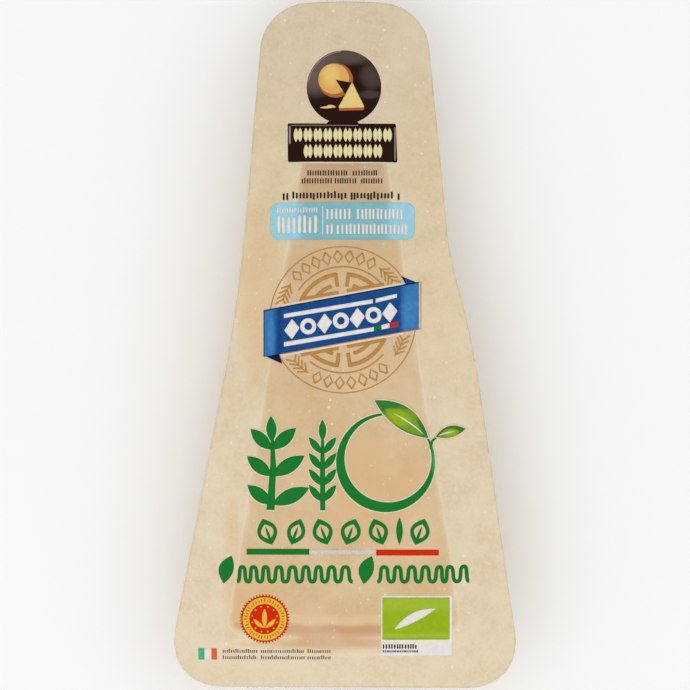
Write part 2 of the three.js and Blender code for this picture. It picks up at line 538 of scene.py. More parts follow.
class Net:
    """The node tree of one material."""

    def __init__(self, name):
        self.material = bpy.data.materials.new(name)
        self.material.use_nodes = True
        self.tree = self.material.node_tree
        self.tree.nodes.clear()
        self.place = self.add("ShaderNodeTexCoord", output="Object")

    def add(self, kind, settings=None, inputs=None, output=0):
        """A node with its settings, then the values or wires of its inputs. Returns one of its outputs."""
        node = self.tree.nodes.new(kind)
        for key, value in (settings or {}).items():
            if key == "stops":
                self.set_stops(node.color_ramp, value)
            else:
                setattr(node, key, value)
        for key, value in (inputs or {}).items():
            self.feed(node.inputs[key], value)
        return Wire(self, node.outputs[output]) if node.outputs else None

    def set_stops(self, ramp, stops):
        while len(ramp.elements) < len(stops):
            ramp.elements.new(1.0)
        for element, (position, colour) in zip(ramp.elements, stops):
            element.position = position
            element.color = (*colour, 1.0)

    def feed(self, socket, value):
        if isinstance(value, Wire):
            self.tree.links.new(value.socket, socket)
        elif socket.type == "RGBA" and len(value) == 3:
            socket.default_value = (*value, 1.0)
        else:
            socket.default_value = value

    def math(self, operation, a, b):
        return self.add("ShaderNodeMath", {"operation": operation}, {0: a, 1: b})

    def mix(self, factor, a, b, blend="MIX"):
        settings = {"data_type": "RGBA", "blend_type": blend}
        return self.add("ShaderNodeMix", settings, {0: factor, 6: a, 7: b}, output=2)

    def ramp(self, value, stops):
        """A colour that follows a value from 0 to 1 through stops."""
        return self.add("ShaderNodeValToRGB", {"stops": stops}, {"Fac": value})

    def step(self, value, low, high):
        """0 below low and 1 above high, with a soft change between."""
        settings = {"interpolation_type": "SMOOTHSTEP"}
        inputs = {"Value": value, "From Min": low, "From Max": high}
        return self.add("ShaderNodeMapRange", settings, inputs)

    def noise(self, size, detail=2.0, roughness=0.5, vector=None):
        """Cloudy noise whose features are about size mm across."""
        inputs = {
            "Vector": vector or self.place,
            "Scale": 1 / (size * MM),
            "Detail": detail,
            "Roughness": roughness,
        }
        return self.add("ShaderNodeTexNoise", None, inputs)

    def cells(self, size, feature="F1"):
        """Distances in a pattern of cells that are about size mm across."""
        inputs = {"Vector": self.place, "Scale": 1 / (size * MM)}
        return self.add("ShaderNodeTexVoronoi", {"feature": feature}, inputs, output="Distance")

    def axis(self, name):
        """An Object coordinate in mm."""
        return self.add("ShaderNodeSeparateXYZ", None, {0: self.place}, output=name) * (1 / MM)

    def attribute(self, name):
        return self.add("ShaderNodeAttribute", {"attribute_name": name}, output="Fac")

    def bump(self, height, distance, strength=1.0):
        """A normal from a height of 0 to 1 that stands for a distance in mm."""
        inputs = {"Height": height, "Distance": distance * MM, "Strength": strength}
        return self.add("ShaderNodeBump", None, inputs)

    def surface(self, shader):
        self.add("ShaderNodeOutputMaterial", None, {"Surface": shader})
        return self.material

    def principled(self, **inputs):
        """A Principled surface, whose inputs are named with _ for a space."""
        named = {key.replace("_", " "): value for key, value in inputs.items()}
        return self.add("ShaderNodeBsdfPrincipled", None, named)


def ink(name, colour, shade=None, roughness=0.45, alpha=1.0):
    """Printed ink with the film's grain in it: an even colour, or what a shade makes of the colours."""
    if name in bpy.data.materials:
        return bpy.data.materials[name]
    net = Net(name)
    base = shade(net, bpy.context.scene.parmesan_colours) if shade else colour
    grain = net.noise(1.6, 3, 0.6)
    lightness = 1 - INK_WEAR / 2 + net.step(grain, 0.25, 0.75) * INK_WEAR
    toned = net.mix(1.0, base, grey(net, lightness), "MULTIPLY")
    relief = net.bump(net.noise(0.9, 2), 0.02, 0.5)
    gloss = roughness + net.noise(4.0) * 0.1 - 0.05
    surface = net.principled(
        Base_Color=toned, Roughness=gloss, Normal=relief, Alpha=alpha, Specular_IOR_Level=INK_SHINE
    )
    return net.surface(surface)


def halo_ink(colours):
    """A light ink that lifts a mark off the film."""
    return ink("halo_ink", colours.halo_ink)


def grey(net, value):
    """A value as a grey colour."""
    return net.add("ShaderNodeCombineColor", None, {0: value, 1: value, 2: value})


def tinted(colour, factors):
    """A colour with its red, green and blue each multiplied by a factor."""
    return tuple(min(1.0, c * factor) for c, factor in zip(colour, factors))


def glow(net, x, y, reach_x, reach_y, strength=1.0):
    """A soft oval: its strength at a place in mm, and 0 a reach away from it."""
    across = (net.axis("X") - x) / reach_x
    along = (net.axis("Y") - y) / reach_y
    return (1 - net.step(across * across + along * along, 0.0, 1.0)) * strength


def glows(net, ovals):
    """Soft ovals added up, each with its place, reaches and perhaps a strength."""
    light = glow(net, *ovals[0])
    for oval in ovals[1:]:
        light = light + glow(net, *oval)
    return light


# ---------------------------------------------------------------------------------------------------------
# The cheese and its two webs

RIND_FADE_Y = (-81.5, -77.0)  # where the rind's colour turns into the paste's

# Soft stains in the lid, in mm: [x, y, reach across, reach along, strength].
CONTACT_STAINS = ((8.0, -41.0, 24.0, 18.0, 0.6), (-28.0, -74.0, 10.0, 20.0, 0.8))
GROUND_STAINS = ((-24.0, 12.0, 9.0, 34.0, 1.0), (-32.6, -66.0, 3.6, 30.0, 0.7))

# Pale specks in the lid: [size across in mm, the cell distance they end at, and fade out at, strength].
LID_SPECKS = ((4.2, 0.05, 0.12, 0.6), (2.2, 0.07, 0.16, 0.45))


def cheese_material(colours):
    """Grainy paste with white crystals, and a rind at the wide end."""
    net = Net("cheese_paste")
    coarse = net.cells(3.4, "SMOOTH_F1")
    cracks = net.cells(4.2, "DISTANCE_TO_EDGE")
    cloud = net.noise(9.0, 4, 0.55)
    grain = net.noise(0.8, 4, 0.65)
    dark = net.step(grain + coarse * 0.5, 0.55, 1.05)
    paste = net.mix(dark * 0.9, colours.paste, colours.paste_dark)
    paste = net.mix(net.step(cloud, 0.35, 0.75) * 0.35, paste, colours.paste_dark)
    crystals = 1 - net.step(net.cells(3.6), 0.08, 0.17)
    paste = net.mix(crystals * 0.8, paste, colours.crystal)
    depth = net.axis("Y") + net.noise(3.5, 3) * 2.0
    rind = 1 - net.step(depth, *RIND_FADE_Y)
    worn = net.step(net.noise(3.0, 4, 0.65), 0.35, 0.7)
    crust = net.mix(worn, colours.rind, colours.rind_pale)
    pits = 1 - net.step(net.cells(2.6), 0.10, 0.22)
    crust = net.mix(pits * 0.4, crust, tinted(colours.rind, (0.6, 0.5, 0.4)))
    colour = net.mix(rind * 0.9, paste, crust)
    height = grain * 0.6 + coarse * 0.5 + net.step(cracks, 0.0, 0.12) * 0.25
    return net.surface(
        net.principled(
            Base_Color=colour,
            Roughness=0.5 + grain * 0.2,
            Normal=net.bump(height, 0.35, 0.8),
            Subsurface_Weight=0.12,
            Subsurface_Radius=(0.004, 0.002, 0.001),
            Subsurface_Scale=0.5,
        )
    )


def pocket_material():
    """Clear film: it mirrors the lights, more so at its edges, and lets the cheese show through."""
    net = Net("clear_pocket_film")
    upright = net.add(
        "ShaderNodeMapping", {"vector_type": "POINT"}, {"Vector": net.place, "Scale": (1.0, 1.0, 0.3)}
    )
    folds = net.noise(4.0, 3, 0.55, upright) + net.noise(1.6, 2, 0.5, upright) * 0.35
    relief = net.bump(folds, 1.1, 0.9)
    gloss = net.principled(Base_Color=(0.97, 0.95, 0.90), Roughness=0.13, Normal=relief)
    clear = net.add("ShaderNodeBsdfTransparent", None, {"Color": (0.99, 0.985, 0.97)})
    facing = net.add("ShaderNodeLayerWeight", None, {"Blend": 0.5, "Normal": relief}, output="Facing")
    creases = net.step(net.noise(3.2, 2, 0.5, upright), 0.60, 0.72)
    share = facing * facing * facing * 0.5 + 0.07 + creases * 0.03
    return net.surface(net.add("ShaderNodeMixShader", None, {0: share, 1: clear, 2: gloss}))


def cloudy(net, colour, amount):
    """The colour with soft clouds, fine mottling and fibres of a lighter and a deeper tone."""
    pale = tinted(colour, (1 + 0.05 * amount, 1 + 0.06 * amount, 1 + 0.08 * amount))
    deep = tinted(colour, (1 - 0.06 * amount, 1 - 0.09 * amount, 1 - 0.15 * amount))
    ground = net.mix(net.step(net.noise(9.0, 3, 0.55), 0.32, 0.70), deep, pale)
    ground = net.mix(net.step(net.noise(2.6, 4, 0.65), 0.38, 0.72) * 0.55, ground, pale)
    fibres = net.add(
        "ShaderNodeMapping", {"vector_type": "POINT"}, {"Vector": net.place, "Scale": (1.0, 0.22, 1.0)}
    )
    thread = net.step(net.noise(0.9, 2, 0.5, fibres), 0.56, 0.75)
    ground = net.mix(thread * 0.35, ground, deep)
    ground = net.mix(net.step(net.noise(1.1, 2, 0.6), 0.40, 0.62) * 0.55, ground, pale)
    return net.mix(net.step(net.noise(0.8, 2, 0.6), 0.50, 0.70) * 0.45, ground, deep)


def lid_material(colours):
    """Parchment-look film, darker and warmer where it clings to the cheese."""
    net = Net("parchment_lid_film")
    y = net.axis("Y")
    share = (y + 100) / 200
    contact = net.attribute("contact")
    rind = net.attribute("rind")
    beside_rind = net.step(rind, 0.0, 0.25)
    touched = net.mix(beside_rind * 0.4, cloudy(net, colours.contact, 0.8), colours.strip)
    touched = net.mix(glows(net, CONTACT_STAINS), touched, colours.butter)
    shadow = net.step(rind, 0.44, 0.74) * (1 - net.step(rind, 0.90, 1.0) * 0.3)
    touched = net.mix(shadow * net.step(contact, 0.5, 1.0), touched, colours.rind_shadow)
    # Painted shade: the lid over the cheese darkens towards the narrow end.
    touched = net.mix(1.0, touched, net.ramp(share, TOUCHED_PAINTED_SHADE), "MULTIPLY")
    ground = cloudy(net, colours.parchment, 1.0)
    # Painted shade: the rest of the lid darkens towards the narrow end.
    ground = net.mix(1.0, ground, net.ramp(share, GROUND_PAINTED_SHADE), "MULTIPLY")
    ground = net.mix(glows(net, GROUND_STAINS) * 0.45, ground, colours.butter)
    # Painted highlight: a pale band just outside the edge of the cheese, where the bent film would catch the
    # light.
    painted_edge_highlight = net.step(contact, 0.02, 0.15) * (1 - net.step(contact, 0.15, 0.5))
    ground = net.mix(painted_edge_highlight * 0.22, ground, colours.speck_and_highlight)
    clinging = contact * (0.74 + net.step(net.noise(17.0, 2), 0.36, 0.60) * 0.26)
    colour = net.mix(clinging, ground, touched)
    for size, low, high, strength in LID_SPECKS:
        specks = 1 - net.step(net.cells(size), low, high)
        patches = net.step(net.noise(size * 1.7), 0.42, 0.58)
        colour = net.mix(specks * patches * strength, colour, colours.speck_and_highlight)
    relief = net.bump(net.noise(2.0, 3, 0.6) * 0.5 + net.noise(0.6, 2) * 0.5, 0.05, 0.6)
    gloss = 0.44 + net.noise(2.0, 3, 0.6) * 0.12
    return net.surface(
        net.principled(Base_Color=colour, Roughness=gloss, Normal=relief, Specular_IOR_Level=0.35)
    )


class PARMESAN_OT_cheese(bpy.types.Operator):
    """Builds the wedge of cheese, with its grainy cuts and its rind."""

    bl_idname = "parmesan.cheese"
    bl_label = "Cheese wedge"

    def execute(self, context):
        sizes = context.scene.parmesan_sizes
        wedge = Wedge(sizes)
        tip, rind = wedge.tip_half - CHEESE_GAP, wedge.rind_half - CHEESE_GAP
        top_y, rind_y = wedge.tip_y - CHEESE_GAP, wedge.rind_y + RIND_BULGE + CHEESE_GAP
        bm = bmesh.new()
        corners = [(-tip, top_y), (-rind, rind_y), (rind, rind_y), (tip, top_y)]
        vertices = [bm.verts.new((x, y, FILM_STACK / 2)) for x, y in corners]
        bm.faces.new(vertices)
        round_corners(bm, [(v, WEDGE_CORNER) for v in vertices], 5)
        top = bmesh.ops.extrude_face_region(bm, geom=bm.faces[:])["geom"]
        raised = [v for v in top if isinstance(v, bmesh.types.BMVert)]
        bmesh.ops.translate(bm, vec=(0, 0, wedge.height), verts=raised)
        bmesh.ops.recalc_face_normals(bm, faces=bm.faces)
        rims = [e for e in bm.edges if abs(e.verts[0].co.z - e.verts[1].co.z) < 1e-6]
        bmesh.ops.bevel(
            bm, geom=rims, affect="EDGES", offset=CHEESE_EDGE, segments=4, profile=0.5, material=-1
        )
        dice(bm, 1.25, axes=(1, 0, 2))
        self.shape(bm, wedge, sizes.relief / MM)
        finish_piece("cheese_wedge", bm, cheese_material(context.scene.parmesan_colours))
        return {"FINISHED"}

    def shape(self, bm, wedge, relief):
        """Bows the two ends, leans the sides in towards the base and roughens the cuts."""
        middle = Vector((0, (wedge.tip_y + wedge.rind_y) / 2))
        for vertex in bm.verts:
            x, y, z = vertex.co
            to_rind = smooth_step((wedge.rind_y + 14 - y) / 14)
            to_tip = smooth_step((y - wedge.tip_y + 6) / 6)
            y -= RIND_BULGE * to_rind * (1 - (x / wedge.rind_half) ** 2)
            y += TIP_BULGE * to_tip * (1 - (x / wedge.tip_half) ** 2)
            lean = POCKET_DRAFT * (1 - z / wedge.height)
            x -= lean * clamp(abs(x) / wedge.half_width(y)) * math.copysign(1, x)
            y -= lean * clamp(abs(y - middle.y) / 70) * math.copysign(1, y - middle.y)
            vertex.co = (x, y, z)
        bm.normal_update()
        offsets = {}
        for vertex in bm.verts:
            place = vertex.co
            clumps = 0.6 * noise.fractal(place / 5.0, 0.9, 2.1, 4)
            crumbs = 0.35 * noise.noise(place / 1.6)
            pits = 0.8 * smooth_step((0.12 - noise.voronoi(place / 7.0)[0][0]) / 0.12)
            offsets[vertex] = min(clumps + crumbs - pits, 0.2) * relief
        for vertex, offset in offsets.items():
            vertex.co += vertex.normal * offset


class PARMESAN_OT_pocket(bpy.types.Operator):
    """Builds the clear formed web: the pocket round the cheese and the underside of the flange."""

    bl_idname = "parmesan.pocket"
    bl_label = "Pocket film"

    def execute(self, context):
        sizes = context.scene.parmesan_sizes
        wedge = Wedge(sizes)
        bm = bmesh.new()
        bm.from_mesh(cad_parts[PACK_NODE].data)
        bmesh.ops.remove_doubles(bm, verts=bm.verts, dist=1e-6)
        bmesh.ops.scale(bm, vec=(1 / MM,) * 3, verts=bm.verts)
        bm.normal_update()
        upper = [f for f in bm.faces if f.normal.z > 0.3 or self.is_rim(wedge, f)]
        bmesh.ops.delete(bm, geom=upper, context="FACES")
        bmesh.ops.join_triangles(
            bm, faces=bm.faces[:], angle_face_threshold=0.6, angle_shape_threshold=0.8
        )
        bmesh.ops.subdivide_edges(bm, edges=bm.edges[:], cuts=1, use_grid_fill=True, smooth=0.0)
        bmesh.ops.smooth_vert(
            bm, verts=[v for v in bm.verts if not v.is_boundary and v.co.z > 0.2], factor=0.4
        )
        film = sizes.film / MM
        for vertex in bm.verts:
            x, y, z = vertex.co
            outside = wedge.outside(x, y)
            out = smooth_step((outside - POCKET_GAP) / (POCKET_MOUTH - POCKET_GAP))
            if z > wedge.height / 2 and out > 0:
                flange = lid_height(wedge, x, y) - film - 0.05
                vertex.co.z = z + (flange - z) * out
        bm.normal_update()
        for vertex in bm.verts:
            x, y, z = vertex.co
            if z > 1.0 and wedge.outside(x, y) < POCKET_MOUTH:
                tug = noise.noise(Vector((x / 5, y / 5, z / 16)))
                tug += 0.5 * noise.noise(Vector((x / 2.4, y / 2.4, z / 20)))
                vertex.co += vertex.normal * (0.2 * tug * smooth_step(z / 5))
        bmesh.ops.solidify(bm, geom=bm.faces[:], thickness=sizes.pocket_film / MM)
        finish_piece("pocket_film", bm, pocket_material())
        return {"FINISHED"}

    def is_rim(self, wedge, face):
        """True for the upright faces round the edge of the flange."""
        centre = face.calc_center_median()
        return abs(face.normal.z) < 0.5 and wedge.outside(centre.x, centre.y) > POCKET_MOUTH


class PARMESAN_OT_lid(bpy.types.Operator):
    """Builds the lid web, drawn tight over the cheese and sealed to the flange."""

    bl_idname = "parmesan.lid"
    bl_label = "Lid film"

    def execute(self, context):
        sizes = context.scene.parmesan_sizes
        wedge = Wedge(sizes)
        bm = bmesh.new()
        vertices = [bm.verts.new((x, y, 0)) for x, y, _ in PACK_CORNERS]
        bm.faces.new(vertices)
        round_corners(bm, [(v, c[2]) for v, c in zip(vertices, PACK_CORNERS)], 10)
        dice(bm, GRID)
        for vertex in bm.verts:
            vertex.co.z = lid_height(wedge, vertex.co.x, vertex.co.y)
        thicken(bm, sizes.film / MM)
        lid = finish_piece(LID, bm, lid_material(context.scene.parmesan_colours))
        self.mark(lid.data, wedge)
        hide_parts(PACK_NODE)
        return {"FINISHED"}

    def mark(self, mesh, wedge):
        """Stores where the lid clings to the cheese and to its rind, for the material."""
        contact = mesh.attributes.new("contact", "FLOAT", "POINT")
        rind = mesh.attributes.new("rind", "FLOAT", "POINT")
        for i, vertex in enumerate(mesh.vertices):
            x, y = vertex.co.x / MM, vertex.co.y / MM
            outside = wedge.outside(x, y)
            edge = outside + ripple(x, y, 0.5, 9.0, 2.0) + ripple(x, y, 0.25, 3.0, 6.0)
            at_rind = smooth_step((wedge.rind_y + 1 - y) / 3)
            start = 1.2 - 2.6 * at_rind
            contact.data[i].value = 1 - smooth_step((edge + start) / (2.4 + 2.0 * at_rind))
            rise = RIND_BULGE * (1 - (x / wedge.rind_half) ** 2)
            depth = y - (wedge.rind_y + 0.4 * (RIND_BULGE - rise)) + ripple(x, y, 0.5, 7.0, 9.0)
            rind.data[i].value = clamp((RIND_DEPTH - depth) / RIND_FADE)


# ---------------------------------------------------------------------------------------------------------
# The print, from the narrow end down


class PARMESAN_OT_badge(bpy.types.Operator):
    """Prints the dark badge: a disc with a cut cheese on it, over a plate with two rows of grains."""

    bl_idname = "parmesan.badge"
    bl_label = "Badge"

    DISC = (-0.15, 74.6)
    RADIUS = 10.85
    GRAIN_PITCH = 1.44

    # Painted reflection of the light on it: [x, y, reach across, reach along, strength].
    SHINE = (
        (-8.5, 79.0, 8.5, 8.5, 0.75),
        (1.5, 84.0, 9.0, 3.5, 0.5),
        (8.0, 78.0, 4.5, 5.0, 0.3),
        (7.5, 72.5, 4.0, 1.6, 0.3),
    )

    def execute(self, context):
        colours = context.scene.parmesan_colours
        x, y = self.DISC
        halo = Sketch()
        halo.disc(x, y, self.RADIUS + 0.35)
        halo.lay("badge_halo_disc", 1, halo_ink(colours), "ink_white")
        halo = Sketch()
        halo.polygon([(-16.8, 52.3, 0.7), (15.75, 52.2, 0.7), (15.25, 64.3, 0.7), (-16.85, 64.35, 0.7)])
        halo.lay("badge_halo_plate", 0.6, halo_ink(colours), "ink_white")
        dark = ink("badge_ink", colours.dark_ink, self.gloss, roughness=0.3)
        disc = Sketch()
        disc.disc(x, y, self.RADIUS)
        disc.lay("badge_disc", 2, dark, "ink_dark")
        plate = Sketch()
        plate.polygon([(-16.4, 52.7, 0.4), (15.35, 52.6, 0.4), (14.9, 63.9, 0.4), (-16.5, 64.0, 0.4)])
        plate.lay("badge_plate", 3, dark, "ink_dark")
        neck = Sketch()
        neck.polygon([(-5.4, 63.8, 0), (4.4, 63.8, 0), (3.0, 65.2, 0.6), (-4.0, 65.2, 0.6)])
        neck.lay("badge_neck", 2.5, dark, "ink_dark")
        self.edges(colours)
        self.cheese(colours)
        self.grains(colours)
        return {"FINISHED"}

    # Painted reflection: the dark ink turns to the shine ink where the light would reflect off the badge.
    def gloss(self, net, colours):
        return net.mix(glows(net, self.SHINE) * 0.55, colours.dark_ink, colours.shine_ink)

    def edges(self, colours):
        """Thin light lines along the edges that face the light."""
        x, y = self.DISC
        edges = Sketch()
        edges.arc(x, y, self.RADIUS - 0.35, 95, 172, 0.3)
        edges.bar(-16.15, 58.0, -15.55, 63.3, 0.25)
        edges.bar(14.45, 53.2, 14.85, 62.8, 0.15)
        edges.bar(-15.4, 63.3, 4.0, 63.5, 0.05)
        edges.lay("badge_shine", 4, ink("shine_ink", colours.shine_ink), "ink_dark")

    def cheese(self, colours):
        """A wheel with a slice out of it, and the slice in front."""
        gold = ink("cheese_gold_ink", colours.cheese_gold, self.ripe, roughness=0.35)
        brown = ink("cheese_brown_ink", colours.cheese_brown)
        back = Sketch()
        back.disc(-2.6, 76.7, 5.1)
        back.lay("badge_wheel_rind", 3, brown, "ink_gold")
        wheel = Sketch()
        wheel.disc(-3.1, 77.1, 4.5)
        wheel.lay("badge_wheel", 4, gold, "ink_gold")
        notch = Sketch()
        notch.polygon([(-2.6, 76.9, 0), (1.6, 70.4, 0), (5.2, 75.4, 0)])
        notch.lay("badge_wheel_cut", 5, ink("badge_ink", colours.dark_ink), "ink_dark")
        rind = Sketch()
        rind.polygon([(-1.7, 67.7, 0.5), (5.8, 67.9, 0.5), (5.5, 69.6, 0.3), (-1.4, 69.4, 0.3)])
        rind.lay("badge_slice_rind", 6, brown, "ink_gold")
        piece = Sketch()
        piece.polygon([(-1.9, 68.5, 0.6), (5.9, 68.7, 0.6), (2.2, 76.2, 0.5)])
        piece.lay("badge_slice", 7, ink("cheese_pale_ink", colours.cheese_pale), "ink_gold")
        crumbs = Sketch()
        crumbs.leaf(-7.2, 68.6, 4.6, 0.7, 4)
        crumbs.lift = LIFT
        crumbs.leaf(-5.0, 69.3, 2.6, 0.8, -12)
        crumbs.lay("badge_crumbs", 5, ink("cheese_pale_ink", colours.cheese_pale), "ink_gold")

    def ripe(self, net, colours):
        light = glow(net, -3.8, 78.3, 3.2, 4.5, 0.7)
        return net.mix(light, colours.cheese_gold, colours.cheese_pale)

    def grains(self, colours):
        """Pairs of grains, like a border of wheat."""
        rows = Sketch()
        for middle, bottom, count in ((-0.5, 58.6, 20), (-0.45, 53.8, 16)):
            for i in range(count):
                pair = 0.12 if i % 2 == 0 else -0.12
                x = middle + (i - (count - 1) / 2) * self.GRAIN_PITCH + pair
                rows.leaf(x, bottom - 0.1, 4.2, 1.42, 90)
        rows.lay("badge_grains", 4, ink("cream_ink", colours.cream_ink), "ink_white")


class PARMESAN_OT_lines(bpy.types.Operator):
    """Prints the three rows of small dark marks under the badge."""

    bl_idname = "parmesan.lines"
    bl_label = "Small lines"

    # The width of a stroke and the pitch of a row.
    SMALL = (0.36, 0.74)
    BOLD = (0.56, 0.98)

    def execute(self, context):
        colours = context.scene.parmesan_colours
        dark = ink("text_ink", colours.text_ink)
        small = Sketch()
        small.row(((-10.7, 0.8, 4), (2.4, 9.5, 5)), 48.7, 50.3, *self.SMALL)
        small.row(((-12.4, -3.6, 6), (-2.8, 4.0, 7), (4.8, 11.3, 8)), 46.4, 48.0, *self.SMALL)
        small.lay("small_rows", 1, dark, "ink_dark")
        bold = Sketch()
        words = ((-17.9, -16.0, 20), (-15.1, 0.7, 21), (1.8, 14.1, 22), (15.4, 16.4, 23))
        bold.row(words, 42.1, 43.8, *self.BOLD, rise=0.45, drop=0.4)
        bold.lay("bold_row", 1, dark, "ink_dark")
        return {"FINISHED"}


class PARMESAN_OT_banner(bpy.types.Operator):
    """Prints the pale blue banner and its rows of cream strokes."""

    bl_idname = "parmesan.banner"
    bl_label = "Banner"

    # The width of a stroke and the pitch of a row.
    FINE = (0.34, 0.78)
    LARGE = (0.8, 1.42)
    EVEN = (0.58, 1.15)

    def execute(self, context):
        colours = context.scene.parmesan_colours
        ground = Sketch()
        ground.bar(-21.5, 30.15, 20.4, 41.05, 2.6, 8)
        sheer = ink("banner_ink", colours.banner_ink, self.over_cheese, alpha=0.76)
        ground.lay("banner", 1, sheer, "ink_blue")
        rows = Sketch()
        rows.row(((-19.5, -7.5, 31),), 38.0, 39.5, *self.FINE)
        rows.row(((-19.4, -7.6, 32),), 32.1, 37.2, *self.LARGE)
        rows.bar(-6.42, 31.6, -6.18, 39.8)
        rows.row(((-5.2, 2.2, 33), (3.6, 17.0, 34)), 36.1, 39.3, *self.EVEN)
        rows.row(((-5.2, -3.0, 35), (-2.2, 18.3, 36)), 31.8, 34.9, *self.EVEN)
        rows.lay("banner_rows", 2, ink("banner_row_ink", colours.banner_row), "ink_white")
        return {"FINISHED"}

    def over_cheese(self, net, colours):
        """The cheese under the lid darkens the middle of the banner."""
        x = net.axis("X")
        middle = net.step(x * x, 220.0, 110.0)
        return net.mix(middle, colours.banner_ink, tinted(colours.banner_ink, (0.66, 0.77, 0.73)))


RIBBON_LEFT = -23.2
RIBBON_RIGHT = 21.55
RIBBON_HALF = 6.62  # half its height
RIBBON_SLOPE = 0.182


def ribbon_point(x, up):
    """A point some way above the ribbon's middle line, which rises to the right."""
    return (x, 2.95 + RIBBON_SLOPE * (x - RIBBON_LEFT) + up)


class PARMESAN_OT_roundel(bpy.types.Operator):
    """Prints the gold roundel behind the ribbon: rings, rays and four ears of wheat."""

    bl_idname = "parmesan.roundel"
    bl_label = "Roundel"

    CENTRE = (-0.5, 7.0)
    BAND = 18.3  # the radius of the middle of the band between the rings

    def execute(self, context):
        colours = context.scene.parmesan_colours
        x, y = self.CENTRE
        gold = ink("gold_ink", colours.gold_ink)
        lines = Sketch()
        lines.ring(x, y, 21.3, 20.98)
        lines.arc(x, y, 15.35, 38, 146, 0.42)
        lines.arc(x, y, 15.35, 232, 320, 0.42)
        for i in range(8):
            self.mark(lines, 136 - i * 10.4)
        for i in range(7):
            self.mark(lines, 246 + i * 10.6)
        lines.lay("roundel_lines", 1, gold, "ink_gold")
        ears = Sketch()
        for angle, way in ((154, 1), (46, -1), (228, -1), (334, 1)):
            self.ear(ears, angle, way)
        ears.lay("roundel_ears", 1, gold, "ink_gold")
        rays = Sketch()
        for first, last in ((98, 160), (22, 84), (204, 264), (278, 336)):
            rays.arc(x, y, 13.25, first, last, 1.15)
        for first, last in ((108, 150), (32, 74), (212, 254), (288, 330)):
            rays.arc(x, y, 10.2, first, last, 1.05)
        rays.lift = LIFT
        for angle in (99, 83, 263, 279):
            rays.stroke([self.at(9.7, angle), self.at(13.7, angle)], [1.05] * 2)
        rays.lift = 2 * LIFT
        for up in (-RIBBON_HALF - 1.4, RIBBON_HALF + 1.4):
            for ends in ((-12.6, -1.7), (0.7, 11.4)):
                rays.stroke([ribbon_point(x, up) for x in ends], [1.0] * 2)
        rays.lay("roundel_rays", 1.5, gold, "ink_gold")
        return {"FINISHED"}

    def at(self, radius, degrees):
        x, y = self.CENTRE
        angle = math.radians(degrees)
        return (x + radius * math.cos(angle), y + radius * math.sin(angle))

    def mark(self, sketch, degrees):
        """An open diamond on the band between the rings."""
        turns = ((20.1, 0), (self.BAND, 3.9), (16.5, 0), (self.BAND, -3.9), (20.1, 0))
        sketch.stroke([self.at(radius, degrees + turn) for radius, turn in turns], [0.5] * 5)

    def ear(self, sketch, degrees, way):
        """An ear of wheat that runs round the band."""
        for i in range(4):
            angle = degrees + way * (i - 1.5) * 4.6
            middle = self.at(self.BAND, angle)
            for side in (1.75, -1.75):
                tip = self.at(self.BAND + side, angle + way * 6.0)
                sketch.lift += LIFT / 4
                sketch.stroke([middle, tip], [0.5, 0.4])
        sketch.lift = LIFT
        start, end = degrees - way * 9, degrees + way * 7
        sketch.arc(*self.CENTRE, self.BAND, start, end, 0.3, 8)
        sketch.lift = 0


